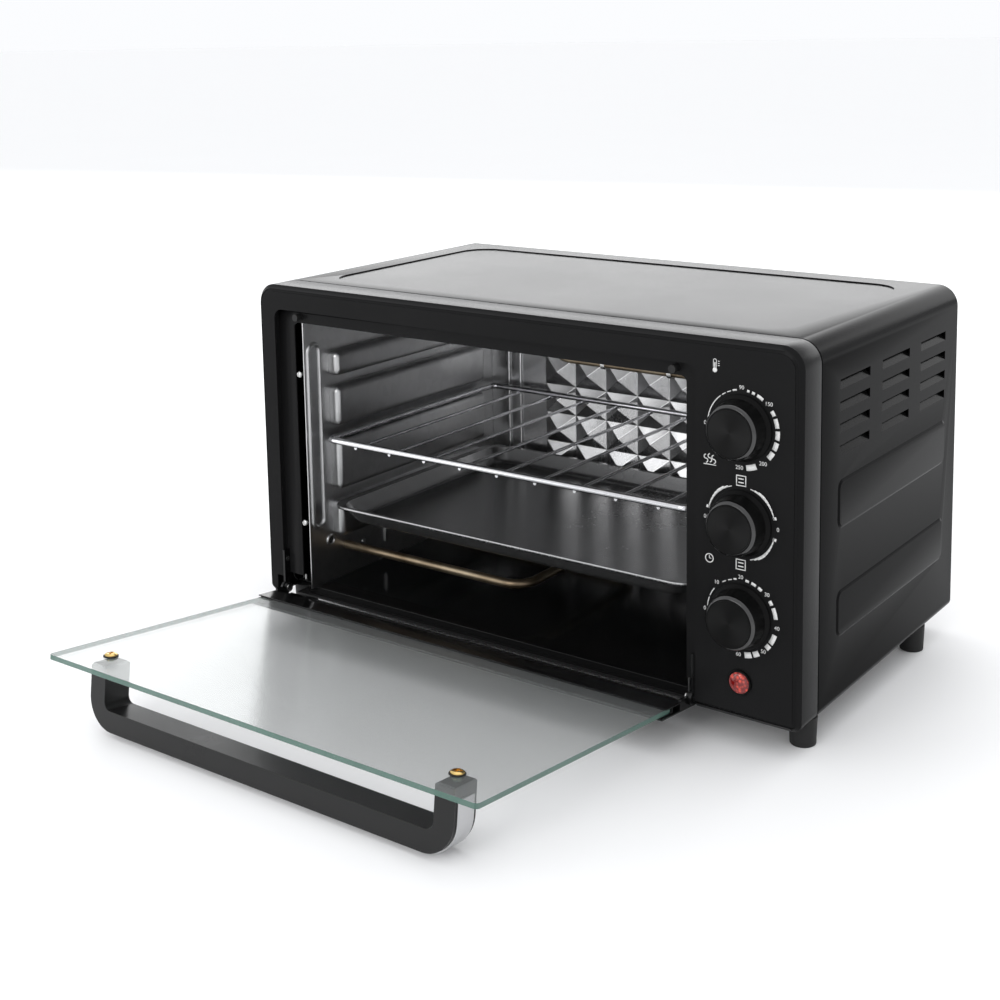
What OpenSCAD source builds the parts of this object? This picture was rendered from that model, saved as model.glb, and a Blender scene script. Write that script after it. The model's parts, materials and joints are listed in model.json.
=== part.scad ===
// Countertop toaster oven with a drop-down glass door, a wire rack, a baking tray and three knobs.
// Millimetres. X runs left to right as seen from the front, Y runs front to back, Z is up.
// The door is drawn open, with its handle just clear of the surface that the feet stand on.

/* [Body] */
// Overall width
body_w = 430; // [400:1:520]
// Height of the body above its feet
body_h = 230; // [224:1:280]
// Depth from the face of the front frame to the back edge of the cabinet
body_d = 241; // [230:1:300]
// Thickness of the painted outer sheet
sheet = 1; // [0.6:0.1:1.2]
// Outer radius of the two top corners
top_r = 14; // [8:1:20]
// Outer radius of the two bottom corners
bottom_r = 6; // [5:1:10]
// Height of the feet
foot_h = 18; // [12:1:24]
// Diameter of a foot where it meets the body
foot_dia = 17.5; // [14:0.5:22]
// Distance of a foot's centre from the side of the body
foot_side = 11; // [10:1:20]
// Distance of the front feet's centres behind the face
foot_front = 28.5; // [28:0.5:40]
// Distance of the rear feet's centres ahead of the back edge
foot_rear = 43; // [20:1:60]

/* [Front frame] */
// Depth of the rim behind the face
frame_d = 25; // [15:1:35]
// Width of the bevel round the face
face_bevel = 3.5; // [2:0.5:4.5]
// Gap between the front frame and the cabinet
seam = 0.6; // [0.3:0.1:1.2]
// Width of the strip left of the door
left_strip = 16.7; // [12:0.1:25]
// Width of the control panel right of the door
panel_w = 69.6; // [66:0.1:80]
// Height of the strip above the door opening
top_strip = 17; // [14:0.5:25]
// Depth of the step round the door opening
step_d = 4.5; // [3:0.5:7]
// Width of the step at the left, past the cavity's open side
step_left = 15; // [12:0.5:20]
// Width of the step at the right
step_right = 8; // [6:0.5:12]
// Width of the step at the top
step_top = 9; // [6:0.5:12]
// Height of the notch that leaves room for the hinge
hinge_notch = 16; // [15:0.5:20]

/* [Cavity] */
// Thickness of the cavity's sheet
liner = 0.8; // [0.5:0.1:1.2]
// Distance from the left side of the body to the inside of the cavity's left wall
cavity_left = 39; // [36:1:50]
// Distance from the right side of the body to the inside of the cavity's right wall
cavity_right = 77; // [76:1:95]
// Height of the cavity floor above the underside of the body
floor_up = 7; // [6:0.5:12]
// Distance from the top of the body down to the cavity ceiling
ceiling_down = 24; // [20:1:34]
// Distance from the back edge of the cabinet to the inside of the cavity's back
cavity_rear = 15; // [13:1:30]
// How far the pads on the side walls stand in
pad_in = 9; // [8:0.5:10]
// Distance of the pads' front ends behind the face
pad_front = 30; // [24:1:50]
// Width and height of one pyramid on the back sheet
pyramid = [29, 23.5];
// How far a pyramid stands forward
pyramid_h = 6; // [3:0.5:7]
// Height of the lowest pyramids above the underside of the body
pyramid_up = 29; // [12:0.5:34]
// Distance of the first pyramids from the cavity's left wall
pyramid_side = 55; // [30:1:70]

/* [Door] */
// Width of the glass
glass_w = 335.6; // [300:0.1:400]
// Length of glass that shows beyond the hinge rail
glass_show = 182; // [170:1:230]
// Thickness of the glass
glass_t = 3.2; // [3:0.1:5]
// Length of the rail from the hinge axis to the edge over the glass
rail_l = 28.9; // [26:0.1:36]
// Height of the hinge axis above the underside of the body
hinge_up = 6; // [6:0.5:8]
// How far the inner side of the shut glass stands in front of the face
shut_gap = 1.3; // [1:0.1:3]
// Diameter of the hinge pins
pin_dia = 4; // [3:0.5:5]
// Clearance on the radius of everything that turns in a bore
running_fit = 0.05; // [0.03:0.01:0.1]
// Thickness of the hinge brackets
bracket_t = 1.8; // [1.5:0.1:2.5]
// Clearance between the moving rail and the brackets
side_fit = 0.5; // [0.3:0.1:1]

/* [Handle] */
// Distance between the centres of the two legs
handle_span = 274; // [200:1:300]
// Thickness of the bar and width of the legs
bar_t = 14; // [10:0.5:18]
// Depth of the bar and of the legs, along the glass
bar_w = 19; // [14:0.5:24]
// Distance from the outer side of the glass to the outer side of the bar
handle_reach = 40.2; // [34:0.2:48]
// Distance from the free edge of the glass to the near side of the bar
handle_edge = 13.7; // [8:0.1:30]
// Outer radius of the handle's two bends
handle_r = 21; // [18:1:24]
// Thickness of the metal trim on the bar
trim_t = 0.8; // [0.5:0.1:1.2]

/* [Rack and tray] */
// Height of the rack's wires above the underside of the body
rack_up = 117; // [112:1:122]
// Diameter of the rack's frame wire
frame_wire = 4.5; // [3.5:0.5:5]
// Diameter of the rack's cross wires
cross_wire = 2.4; // [2:0.2:4]
// Number of cross wires
cross_count = 9; // [5:1:13]
// Height of the tray's rim above the underside of the body
tray_up = 68; // [66:1:70]
// Depth of the tray
tray_h = 13; // [8:1:18]
// Thickness of the tray's sheet
tray_t = 0.8; // [0.6:0.1:1.2]
// Clearance between the side walls and the rack or tray
slide_fit = 5.5; // [4.5:0.5:6]
// Depth of the rack and of the tray, front to back
rack_d = 198; // [180:1:215]

/* [Heaters] */
// Diameter of the heater tubes
heater_dia = 6.5; // [5:0.5:8]
// Height of the lower heater above the underside of the body
lower_heater_up = 30; // [26:1:40]
// Distance of the upper heater below the ceiling
upper_heater_down = 14; // [10:1:25]
// Distance of the lower heater's front run behind the face
lower_front = 43; // [36:1:60]
// Distance of the upper heater's front run behind the face
upper_front = 54; // [36:1:70]
// Reach of the lower heater from the left wall
lower_reach = 162; // [100:1:250]
// Reach of the upper heater from the right wall
upper_reach = 131; // [100:1:250]

/* [Controls] */
// Distance of the knobs' centres from the right side of the body
knob_side = 38.5; // [35:0.5:45]
// Height of the middle knob's centre above the underside of the body
knob_mid = 122; // [100:1:140]
// Distance between two knobs
knob_pitch = 57; // [52:1:62]
// Diameter of a knob's skirt
skirt_dia = 40; // [39:1:50]
// Diameter of a knob's grip at its front
grip_dia = 33; // [28:1:34]
// How far a knob stands out of the face
knob_h = 15; // [10:1:20]
// Diameter of the control shafts
shaft_dia = 6; // [5:0.5:8]
// Gap between a knob's skirt and the face
knob_gap = 0.6; // [0.4:0.1:1.5]
// Diameter of the indicator lens
lamp_dia = 13; // [10:0.5:16]
// Height of the indicator's centre above the underside of the body
lamp_up = 24; // [20:1:32]

/* [Side vents] */
// Length of a louver
louver_l = 43.5; // [30:0.5:52]
// Distance between two louvers in a row
louver_pitch = 62.5; // [56:0.5:66]
// Number of rows
louver_rows = 4; // [2:1:5]
// Distance between two rows
row_pitch = 13.4; // [12:0.1:16]
// Height of the lowest louver above the underside of the body
louver_up = 150; // [120:1:155]
// Height of a louver's slot
louver_h = 6; // [5:0.5:8]
// How far a louver's flap leans in at its top
flap_in = 4; // [3:0.5:6]
// How far the side panels are pressed out and the top panel is pressed in
press = 0.8; // [0.4:0.1:1.2]

/* [Hidden] */
$fn = 64;

// Ends of the body and of the door opening
half_w = body_w / 2;
base_z = foot_h;
top_z = foot_h + body_h;
step_x0 = -half_w + left_strip;
step_x1 = half_w - panel_w;
step_z1 = top_z - top_strip;
door_x = (step_x0 + step_x1) / 2;

// Inside of the cavity
in_x0 = -half_w + cavity_left;
in_x1 = half_w - cavity_right;
in_x = (in_x0 + in_x1) / 2;
in_w = in_x1 - in_x0;
in_z0 = base_z + floor_up;
in_z1 = top_z - ceiling_down;
in_y1 = body_d - cavity_rear;
cavity_front = step_d + sheet;

// The door turns about an axis at the face plane; its own frame has the axis at the origin,
// -Y towards the free edge and +Z on the side that faces the oven when it is shut
pin_z = base_z + hinge_up;
glass_in = -shut_gap;
glass_out = glass_in - glass_t;
glass_end = rail_l + glass_show;
bar_front = glass_end - handle_edge;
bar_back = bar_front - bar_w;
bar_out = glass_out - handle_reach;
rest_gap = 0.4;
// The open door leans on its handle, so its rise follows from the handle's corner meeting the surface
door_rise = atan2(-bar_out, bar_back) + asin((rest_gap - pin_z) / norm([bar_back, bar_out]));
rail_x0 = step_x0 + bracket_t + side_fit;
rail_x1 = step_x1 - bracket_t - side_fit;
rail_t = 1;
rail_tail = 5;
seal_t = 0.5;
glass_tuck = 9;

// The origin is under the middle of the whole object's box, with the door open
bush_out = 3;
y_front = -glass_end * cos(door_rise) + glass_out * sin(door_rise);
y_mid = (y_front + body_d + bush_out) / 2;

knob_x = half_w - knob_side;
knob_z = [for (i = [1, 0, -1]) base_z + knob_mid + i * knob_pitch];

// Pads on the side walls, lower and upper ends above the underside of the body: the rack and the
// tray lie on the pads' top edges
groove = 9;
ride_gap = 0.3;
pad_zs = [[40, tray_up - tray_t - ride_gap], [tray_up + groove - 1, rack_up - frame_wire / 2 - ride_gap],
    [rack_up + groove - frame_wire / 2, rack_up + 36], [rack_up + 44, rack_up + 62]];

module slab(y0, y1) translate([0, y1, 0]) rotate([90, 0, 0]) linear_extrude(y1 - y0) children();
module along_x(x0, x1) translate([x0, 0, 0]) rotate([90, 0, 90]) linear_extrude(x1 - x0) children();
module along_z(z0, z1) translate([0, 0, z0]) linear_extrude(z1 - z0) children();
module box(a, b) translate(a) cube(b - a);
module rod_y(d, y0, y1) translate([0, y0, 0]) rotate([-90, 0, 0]) cylinder(d = d, h = y1 - y0);
module rod_x(d, x0, x1) translate([x0, 0, 0]) rotate([0, 90, 0]) cylinder(d = d, h = x1 - x0);
module in_place() translate([0, -y_mid, 0]) children();
module on_door() translate([0, 0, pin_z]) rotate([-door_rise, 0, 0]) children();

// Rectangle with round corners, its lower left corner at a and its upper right one at b
module round_rect(a, b, r) {
    translate([a.x + r, a.y]) square([b.x - a.x - 2 * r, b.y - a.y]);
    translate([a.x, a.y + r]) square([b.x - a.x, b.y - a.y - 2 * r]);
    for (x = [a.x + r, b.x - r], y = [a.y + r, b.y - r]) translate([x, y]) circle(r);
}

// Slot centred on the origin, a along the first axis and b along the second
module slot(a, b) {
    long = max(a, b);
    r = min(a, b) / 2;
    rotate(a > b ? 0 : 90) {
        translate([r - long / 2, -r]) square([long - 2 * r, 2 * r]);
        for (s = [-1, 1]) translate([s * (long / 2 - r), 0]) circle(r);
    }
}

// Outline of the body, shrunk by inset on every side
module body_outline(inset) {
    w = half_w - inset;
    rt = top_r - inset;
    rb = bottom_r - inset;
    mid = base_z + body_h / 2;
    translate([-w + rt, mid]) square([2 * (w - rt), top_z - inset - mid]);
    translate([-w + rb, base_z + inset]) square([2 * (w - rb), mid - base_z]);
    translate([-w, base_z + inset + rb]) square([2 * w, body_h - 2 * inset - rt - rb]);
    for (s = [-1, 1]) {
        translate([s * (w - rt), top_z - inset - rt]) circle(rt);
        translate([s * (w - rb), base_z + inset + rb]) circle(rb);
    }
}

// Solid with the body's outline and a bevel c round its front face at y0
module bevelled_body(inset, y0, y1, c) {
    w = half_w - inset;
    z0 = base_z + inset;
    z1 = top_z - inset;
    rt = top_r - inset;
    rb = bottom_r - inset;
    mid = (z0 + z1) / 2;
    along_x(-w + rt, w - rt) polygon([[y0, mid], [y0, z1 - c], [y0 + c, z1], [y1, z1], [y1, mid]]);
    along_x(-w + rb, w - rb) polygon([[y0, mid], [y0, z0 + c], [y0 + c, z0], [y1, z0], [y1, mid]]);
    along_z(z0 + rb, z1 - rt)
        polygon([[-w, y0 + c], [-w + c, y0], [w - c, y0], [w, y0 + c], [w, y1], [-w, y1]]);
    for (s = [-1, 1], k = [[z1 - rt, rt], [z0 + rb, rb]])
        translate([s * (w - k[1]), y0, k[0]]) rotate([-90, 0, 0]) rotate_extrude()
            polygon([[0, 0], [k[1] - c, 0], [k[1], c], [k[1], y1 - y0], [0, y1 - y0]]);
}

shell_y0 = frame_d + seam;
lip_w = 22;

// Rear feet and front feet
module foot_places()
    for (x = [-half_w + foot_side, half_w - foot_side], y = [foot_front, body_d - foot_rear])
        translate([x, y, 0]) children();

// Louvers on one side; s is -1 at the left and 1 at the right
louver_y0 = shell_y0 + 25;
module louver_places() for (i = [0:2], j = [0:louver_rows - 1])
    translate([0, louver_y0 + i * louver_pitch, base_z + louver_up + 6 + j * row_pitch]) children();

// One flap on the right side, hanging on the lower edge of its slot and leaning in
flap_root = 0.5;
flap_gap = 0.8;
module flap() slab(0, louver_l) polygon([[half_w, -flap_root], [half_w, 0],
    [half_w - flap_in, louver_h - flap_gap], [half_w - flap_in - sheet, louver_h - flap_gap],
    [half_w - sheet, 0], [half_w - sheet, -flap_root]]);

// Pressed panel on the right side between two heights above the underside of the body
panel_y0 = shell_y0 + 23.5;
panel_y1 = body_d - 20;
panel_zs = [[42.5, 72], [110.5, 141]];
module side_panels(x0, x1, grow)
    for (z = panel_zs)
        along_x(x0, x1)
            round_rect([panel_y0 - grow, base_z + z[0] - grow], [panel_y1 + grow, base_z + z[1] + grow], 6);

// Pressed panel on the top
module top_panel(z0, z1, grow) along_z(z0, z1)
    round_rect([-half_w + 31 - grow, frame_d + 15 - grow], [half_w - 31 + grow, body_d - 19 + grow], 22);

module cabinet_shell() color("#222224") {
    difference() {
        union() {
            difference() {
                slab(shell_y0, body_d) body_outline(0);
                slab(shell_y0 - 1, body_d + 1) body_outline(sheet);
                box([-half_w + lip_w, shell_y0 - 1, base_z - 1],
                    [half_w - lip_w, body_d + 1, base_z + sheet + 1]);
            }
            top_panel(top_z - sheet - press, top_z - sheet / 2, sheet);
            for (s = [0, 1]) mirror([s, 0, 0]) side_panels(half_w - sheet, half_w + press, 0);
        }
        top_panel(top_z - press, top_z + 1, 0);
        for (s = [0, 1]) mirror([s, 0, 0]) {
            side_panels(half_w - sheet - 1, half_w - sheet + press, -sheet);
            louver_places() box([half_w - 2 * sheet, 0, 0], [half_w + 1, louver_l, louver_h]);
        }
        foot_places() cylinder(d = 4.4, h = base_z + 2 * sheet);
    }
    for (s = [0, 1]) mirror([s, 0, 0]) louver_places() flap();
}

base_fit = 0.2;
base_front = 7;
module base_plate() color("#2a2a2c") difference() {
    union() {
        box([-half_w + bottom_r + base_fit, shell_y0, base_z + sheet],
            [half_w - bottom_r - base_fit, body_d - 3, base_z + 2 * sheet]);
        box([-half_w + lip_w + base_fit, base_front, base_z],
            [step_x1 - base_fit, shell_y0 + 3, base_z + sheet]);
        box([-half_w + lip_w + base_fit, shell_y0, base_z],
            [half_w - lip_w - base_fit, shell_y0 + 3, base_z + 2 * sheet]);
    }
    foot_places() cylinder(d = 4.4, h = base_z + 3 * sheet);
    for (i = [-3:3]) translate([in_x + i * 30, body_d / 2, base_z])
        linear_extrude(3 * sheet) slot(8, 90);
}

rear_y = body_d - 3;
bush_x = half_w - 40;
bush_z = base_z + 38;
bush_dia = 12;
module rear_panel() color("#2a2a2c") difference() {
    union() {
        slab(rear_y, rear_y + sheet) body_outline(sheet + base_fit);
        slab(rear_y - 8, rear_y) difference() {
            body_outline(sheet + base_fit);
            body_outline(2 * sheet + base_fit);
            translate([-half_w, base_z]) square([body_w, 3 * sheet]);
        }
    }
    for (i = [-7:7], j = [0:2]) translate([in_x + i * 18, 0, top_z - 70 + j * 18])
        slab(rear_y - 1, rear_y + 2) slot(4, 12);
    for (i = [-4:4]) translate([in_x + i * 30, 0, base_z + 40])
        slab(rear_y - 1, rear_y + 2) slot(20, 4);
    translate([bush_x, 0, bush_z]) rod_y(bush_dia, rear_y - 1, rear_y + 2);
    rear_screw_places() rod_y(3.4, rear_y - 1, rear_y + 2);
}
module rear_screw_places()
    for (p = [[-half_w + 14, base_z + 60], [-half_w + 14, top_z - 40], [half_w - 14, base_z + 60],
        [half_w - 14, top_z - 40], [0, base_z + 14], [0, top_z - 12]])
        translate([p[0], 0, p[1]]) children();

// Rubber bushing for the mains lead, gripping the edge of its hole
lead_bore = 7.4;
module cord_bushing() color("#151515") translate([bush_x, 0, bush_z]) difference() {
    union() {
        rod_y(bush_dia, rear_y, rear_y + sheet);
        rod_y(bush_dia + 5, rear_y - 3, rear_y);
        rod_y(bush_dia + 5, rear_y + sheet, body_d + bush_out);
    }
    rod_y(lead_bore, rear_y - 4, body_d + bush_out + 1);
}

// Holes in the face for the shafts' bushings and the lamp
neck_dia = 10;
lamp_neck = 11;
bumper_dia = 5;
bumper_places = [[step_x0 + 21, step_z1 - 4.6], [step_x1 - 15, step_z1 - 4.6]];
module front_frame() color("#1c1c1e") difference() {
    union() {
        difference() {
            bevelled_body(0, 0, frame_d, face_bevel);
            bevelled_body(sheet, sheet, frame_d + 1, face_bevel * 0.8);
        }
        difference() {
            box([step_x0 - sheet, sheet, base_z + hinge_notch],
                [step_x1 + sheet, step_d + sheet, step_z1 + sheet]);
            box([step_x0, 0, base_z], [step_x1, step_d, step_z1]);
        }
    }
    slab(-1, step_d) {
        round_rect([step_x0, base_z + 20], [step_x1, step_z1], 7);
        translate([step_x0, base_z - 1]) square([step_x1 - step_x0, 50]);
    }
    slab(-1, frame_d) {
        round_rect([step_x0 + step_left, base_z + 20], [step_x1 - step_right, step_z1 - step_top], 4);
        translate([step_x0 + step_left, base_z - 1]) square([step_x1 - step_right - step_x0 - step_left, 50]);
    }
    box([step_x0 - 7, -1, base_z - 1], [step_x0 + 1, frame_d + 1, base_z + hinge_notch - 2]);
    box([step_x0 - 1, -1, base_z - 1], [step_x1 + 0.01, frame_d + 1, base_z + hinge_notch]);
    along_x(step_x1 - 1, step_x1) translate([0, base_z]) square(1);
    for (z = knob_z) translate([knob_x, 0, z]) rod_y(neck_dia + 0.4, -1, 2 * sheet);
    translate([knob_x, 0, base_z + lamp_up]) rod_y(lamp_neck + 0.4, -1, 2 * sheet);
    for (p = bumper_places) translate([p[0], 0, p[1]]) rod_y(bumper_dia - 1.5, 0, step_d + 2 * sheet);
    translate([0, step_d / 2, bracket_screw_z]) rod_x(2, step_x0 - 3, step_x1 + 3);
}

// Soft buttons that the shut glass lands on
module door_bumpers() color("#101010") for (p = bumper_places) translate([p[0], 0, p[1]]) {
    rod_y(bumper_dia, -shut_gap + 0.3, step_d);
    rod_y(bumper_dia - 1.5, step_d, step_d + sheet);
}

// Tabs of the cavity's left wall behind the step, and the screws through them
tab_w = 15;
tab_h = 16;
jamb_screw_x = step_x0 + step_left + 2.6;
module jamb_screw_places()
    for (z = [base_z + 56, top_z - 64]) translate([jamb_screw_x, 0, z]) children();
module jamb_screws() color("#c9c9cc") jamb_screw_places() {
    rod_y(4.6, cavity_front - 1.2, cavity_front);
    rod_y(3, cavity_front, cavity_front + 8);
}

// Sheet that closes the space in front of the cavity floor
sill_y = 10;
sill_w = 14;
module door_sill() color("#141416")
    along_x(step_x0 + step_left + 0.2, step_x1 - step_right - 0.2) difference() {
        translate([sill_y, base_z + sheet]) square([sill_w, floor_up - sheet]);
        translate([sill_y + sheet, base_z]) square([sill_w, floor_up - sheet]);
    }

// Side wall of the cavity, drawn at the left; the pads are pressed inwards from outside
module side_wall() difference() {
    union() {
        box([in_x0 - liner, cavity_front, in_z0], [in_x0, in_y1 + liner, in_z1]);
        for (p = pad_zs) box([in_x0, pad_front, base_z + p[0]], [in_x0 + pad_in, in_y1 - 20, base_z + p[1]]);
        translate([in_x0, cavity_front + 7.5, 0]) along_z(base_z + 48, top_z - 46) circle(3.2);
    }
    for (p = pad_zs)
        box([in_x0 - 1, pad_front + liner, base_z + p[0] + liner],
            [in_x0 + pad_in - liner, in_y1 - 20 - liner, base_z + p[1] - liner]);
    translate([in_x0, cavity_front + 7.5, 0]) along_z(base_z + 49, top_z - 47) circle(2.4);
}
module heater_holes(x0, x1, z, y_ends) for (y = y_ends)
    translate([0, y, z]) rod_x(heater_dia + 1, x0, x1);

lower_z = base_z + lower_heater_up;
upper_z = in_z1 - upper_heater_down;
lower_ys = [lower_front, in_y1 - 35];
upper_ys = [upper_front, in_y1 - 35];
// Flanged hole low in the left wall, near the mouth
spare_hole = 5;
module spare_hole_place() translate([0, 26.6, base_z + 38]) children();
module cavity_left_wall() color("#6f6f70") difference() {
    union() {
        side_wall();
        spare_hole_place() rod_x(spare_hole + 3.6, in_x0 - liner, in_x0 + 1);
        jamb_screw_places() translate([in_x0 - jamb_screw_x, 0, 0])
            box([-tab_w, cavity_front, -tab_h / 2], [0, cavity_front + liner, tab_h / 2]);
    }
    heater_holes(in_x0 - 2, in_x0 + 1, lower_z, lower_ys);
    spare_hole_place() rod_x(spare_hole, in_x0 - 2, in_x0 + 2);
    jamb_screw_places() rod_y(3, cavity_front - 1, cavity_front + 2);
}
module cavity_right_wall() color("#6f6f70") difference() {
    translate([2 * in_x, 0, 0]) mirror([1, 0, 0]) side_wall();
    heater_holes(in_x1 - 1, in_x1 + 2, upper_z, upper_ys);
}
module cavity_ceiling() color("#6f6f70")
    box([in_x0 - liner, cavity_front, in_z1], [in_x1 + liner, in_y1 + liner, in_z1 + liner]);
module cavity_floor() color("#1a1a1b")
    box([in_x0 - liner, sill_y + sill_w, in_z0 - liner], [in_x1 + liner, in_y1 + liner, in_z0]);

// Back of the cavity: pyramids, where two sets of ridges cross
back_x0 = in_x0 + pyramid_side;
back_cols = floor((in_x1 - 5 - back_x0) / pyramid.x);
back_x1 = back_x0 + back_cols * pyramid.x;
back_rows = floor((in_z1 - 6 - base_z - pyramid_up) / pyramid.y);
back_z0 = base_z + pyramid_up;
module zigzag(count, pitch, height)
    polygon([for (i = [0:2 * count]) [i * pitch / 2, (i % 2) * height], [count * pitch, -0.4], [0, -0.4]]);
module pyramids() intersection() {
    translate([back_x0, in_y1, back_z0]) linear_extrude(back_rows * pyramid.y)
        mirror([0, 1, 0]) zigzag(back_cols, pyramid.x, pyramid_h);
    translate([0, in_y1, back_z0]) along_x(back_x0, back_x1)
        rotate(90) zigzag(back_rows, pyramid.y, pyramid_h);
}
module cavity_back() color("#8a8a8c") union() {
    box([in_x0, in_y1, in_z0], [in_x1, in_y1 + liner, in_z1]);
    pyramids();
}

// U-shaped tube in a level plane: out from the wall at x0, towards +X, and back
bend_r = 15;
module heater_tube(reach, tail, ys) {
    y0 = ys[0];
    y1 = ys[1];
    straight = reach - bend_r;
    for (y = ys) translate([0, y, 0]) rod_x(heater_dia, -tail, straight);
    translate([reach, 0, 0]) rod_y(heater_dia, y0 + bend_r, y1 - bend_r);
    for (k = [[y0 + bend_r, -90], [y1 - bend_r, 0]])
        translate([straight, k[0], 0]) rotate([0, 0, k[1]])
            rotate_extrude(angle = 90) translate([bend_r, 0]) circle(d = heater_dia);
}
heater_tail = 12;
module lower_heater() color("#7d6a4c")
    translate([in_x0, 0, lower_z]) heater_tube(lower_reach, heater_tail, lower_ys);
module upper_heater() color("#7d6a4c")
    translate([in_x1, 0, upper_z]) mirror([1, 0, 0]) heater_tube(upper_reach, heater_tail, upper_ys);

// Ceramic bushes behind the walls, where the heaters go through
bush_wall = 2.5;
module insulator() rotate([0, 90, 0]) difference() {
    union() {
        cylinder(d = heater_dia + 2 * bush_wall, h = 9);
        cylinder(d = heater_dia + 2 * bush_wall + 4, h = 3);
    }
    translate([0, 0, -1]) cylinder(d = heater_dia, h = 12);
}
module heater_insulators() color("#e6e0d2") {
    for (y = lower_ys) translate([in_x0 - liner, y, lower_z]) mirror([1, 0, 0]) insulator();
    for (y = upper_ys) translate([in_x1 + liner, y, upper_z]) insulator();
}

// Wire clips that hold the upper heater under the ceiling
clip_xs = [in_x1 - 90, in_x1 - 40];
module heater_clips() color("#b9b9bb") for (x = clip_xs) translate([x, upper_front, upper_z]) {
    difference() {
        rod_x(heater_dia + 2, -1.5, 1.5);
        rod_x(heater_dia, -2, 2);
    }
    box([-1.5, -0.6, heater_dia / 2 + 0.6], [1.5, 0.6, upper_heater_down]);
}

// Sheet between the cavity and the controls
shield_x = in_x1 + 14;
module heat_shield() color("#8f8f92") difference() {
    union() {
        box([shield_x, frame_d + 6, base_z + 2 * sheet], [shield_x + liner, body_d - 16, top_z - 6]);
        box([shield_x - 10, frame_d + 6, base_z + 2 * sheet],
            [shield_x, body_d - 16, base_z + 2 * sheet + liner]);
    }
    for (i = [0:5]) translate([0, frame_d + 40 + i * 22, top_z - 60])
        along_x(shield_x - 1, shield_x + 2) slot(6, 28);
}

// Threaded neck that comes through the face, and the bore that a shaft turns in
neck_out = 3;
control_d = 30;
module neck(bore_d) difference() {
    children();
    rod_y(shaft_dia + 2 * running_fit, -neck_out - 1, bore_d);
}
bore_d = 20;
module thermostat() color("#d8d2c4") translate([knob_x, 0, knob_z[0]]) neck(bore_d) {
    rod_y(neck_dia, -neck_out, sheet);
    box([-15, sheet, -17], [15, 26, 17]);
    for (z = [-12, 12]) box([-4, 26, z - 0.4], [4, 35, z + 0.4]);
}
module function_switch() color("#3a3a3c") translate([knob_x, 0, knob_z[1]]) neck(bore_d) {
    rod_y(neck_dia, -neck_out, sheet);
    rod_y(40, sheet, control_d);
    for (x = [-12, -4, 4, 12]) box([x - 0.4, control_d, -3], [x + 0.4, control_d + 9, 3]);
}
module timer() color("#c8c8ca") translate([knob_x, 0, knob_z[2]]) neck(bore_d) {
    rod_y(neck_dia, -neck_out, sheet);
    box([-20, sheet, -22], [20, 36, 22]);
    translate([0, 0, 6]) rod_y(26, 36, 44);
    for (x = [-10, 10]) box([x - 3, 36, -18.4], [x + 3, 45, -17.6]);
}

// Block that the mains lead and the inner leads meet in
module terminal_block() color("#e8e4d8") translate([bush_x, body_d - 60, base_z + 2 * sheet]) difference() {
    box([-12, -18, 0], [12, 18, 14]);
    for (y = [-12, 0, 12]) translate([0, y, 8]) rod_x(4, -13, 13);
    for (y = [-12, 0, 12], x = [-7, 7]) translate([x, y, 8]) cylinder(d = 4, h = 7);
}

lamp_face = 2.4;
module lamp_holder() color("#18181a") translate([knob_x, 0, base_z + lamp_up]) difference() {
    union() {
        rod_y(lamp_neck, -1, 22);
        rod_y(lamp_dia + 2.4, -1.6, 0);
        rod_y(lamp_neck + 4, sheet, sheet + 3);
    }
    rod_y(lamp_neck - 2, -2, 20);
    rod_y(lamp_dia, -2, -0.8);
}
module lamp_lens() color("#b01010") translate([knob_x, 0, base_z + lamp_up]) {
    rod_y(lamp_dia, -1.6, -0.8);
    rod_y(lamp_neck - 2, -0.8, 8);
    intersection() {
        translate([0, lamp_dia - 1.6 - 1.2, 0]) sphere(lamp_dia);
        rod_y(lamp_dia, -lamp_face - 2, -1.6);
    }
}

foot_taper = 1.5;
module feet() color("#0e0e0f") foot_places() difference() {
    cylinder(d1 = foot_dia - foot_taper, d2 = foot_dia, h = foot_h);
    translate([0, 0, -1]) cylinder(d = 8, h = foot_h - 5);
    cylinder(d = 4, h = foot_h + 1);
}
module foot_screws() color("#b8b8bb") foot_places() {
    translate([0, 0, foot_h - 8.6]) cylinder(d = 7, h = 2.6);
    translate([0, 0, foot_h - 6]) cylinder(d = 4, h = 6 + 2 * sheet + 4);
}
module rear_screws() color("#b8b8bb") rear_screw_places() {
    rod_y(6.5, rear_y + sheet, rear_y + sheet + 1.8);
    rod_y(3.4, rear_y - 6, rear_y + sheet);
}

// Plate beside the rail, with the bore that a hinge pin turns in
bracket_r = 4.4;
bracket_z1 = base_z + 34;
bracket_screw_z = base_z + 27;
module bracket(x0) difference() {
    along_x(x0, x0 + bracket_t) {
        translate([0, pin_z]) circle(bracket_r);
        translate([0, pin_z - bracket_r]) square([step_d, 2 * bracket_r]);
        translate([-1, pin_z]) square([step_d + 1, bracket_z1 - pin_z]);
    }
    translate([0, 0, pin_z]) rod_x(pin_dia + 2 * running_fit, x0 - 1, x0 + bracket_t + 1);
    translate([0, step_d / 2, bracket_screw_z]) rod_x(2, x0 - 1, x0 + bracket_t + 1);
}
module hinge_bracket_left() color("#202022") bracket(step_x0);
module hinge_bracket_right() color("#202022") bracket(step_x1 - bracket_t);
module bracket_screws() color("#b8b8bb") {
    translate([0, step_d / 2, bracket_screw_z]) {
        rod_x(2, step_x0 - 2, step_x0 + bracket_t);
        rod_x(3.4, step_x0 + bracket_t, step_x0 + bracket_t + 0.4);
        rod_x(2, step_x1 - bracket_t, step_x1 + 2);
        rod_x(3.4, step_x1 - bracket_t - 0.4, step_x1 - bracket_t);
    }
}

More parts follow.
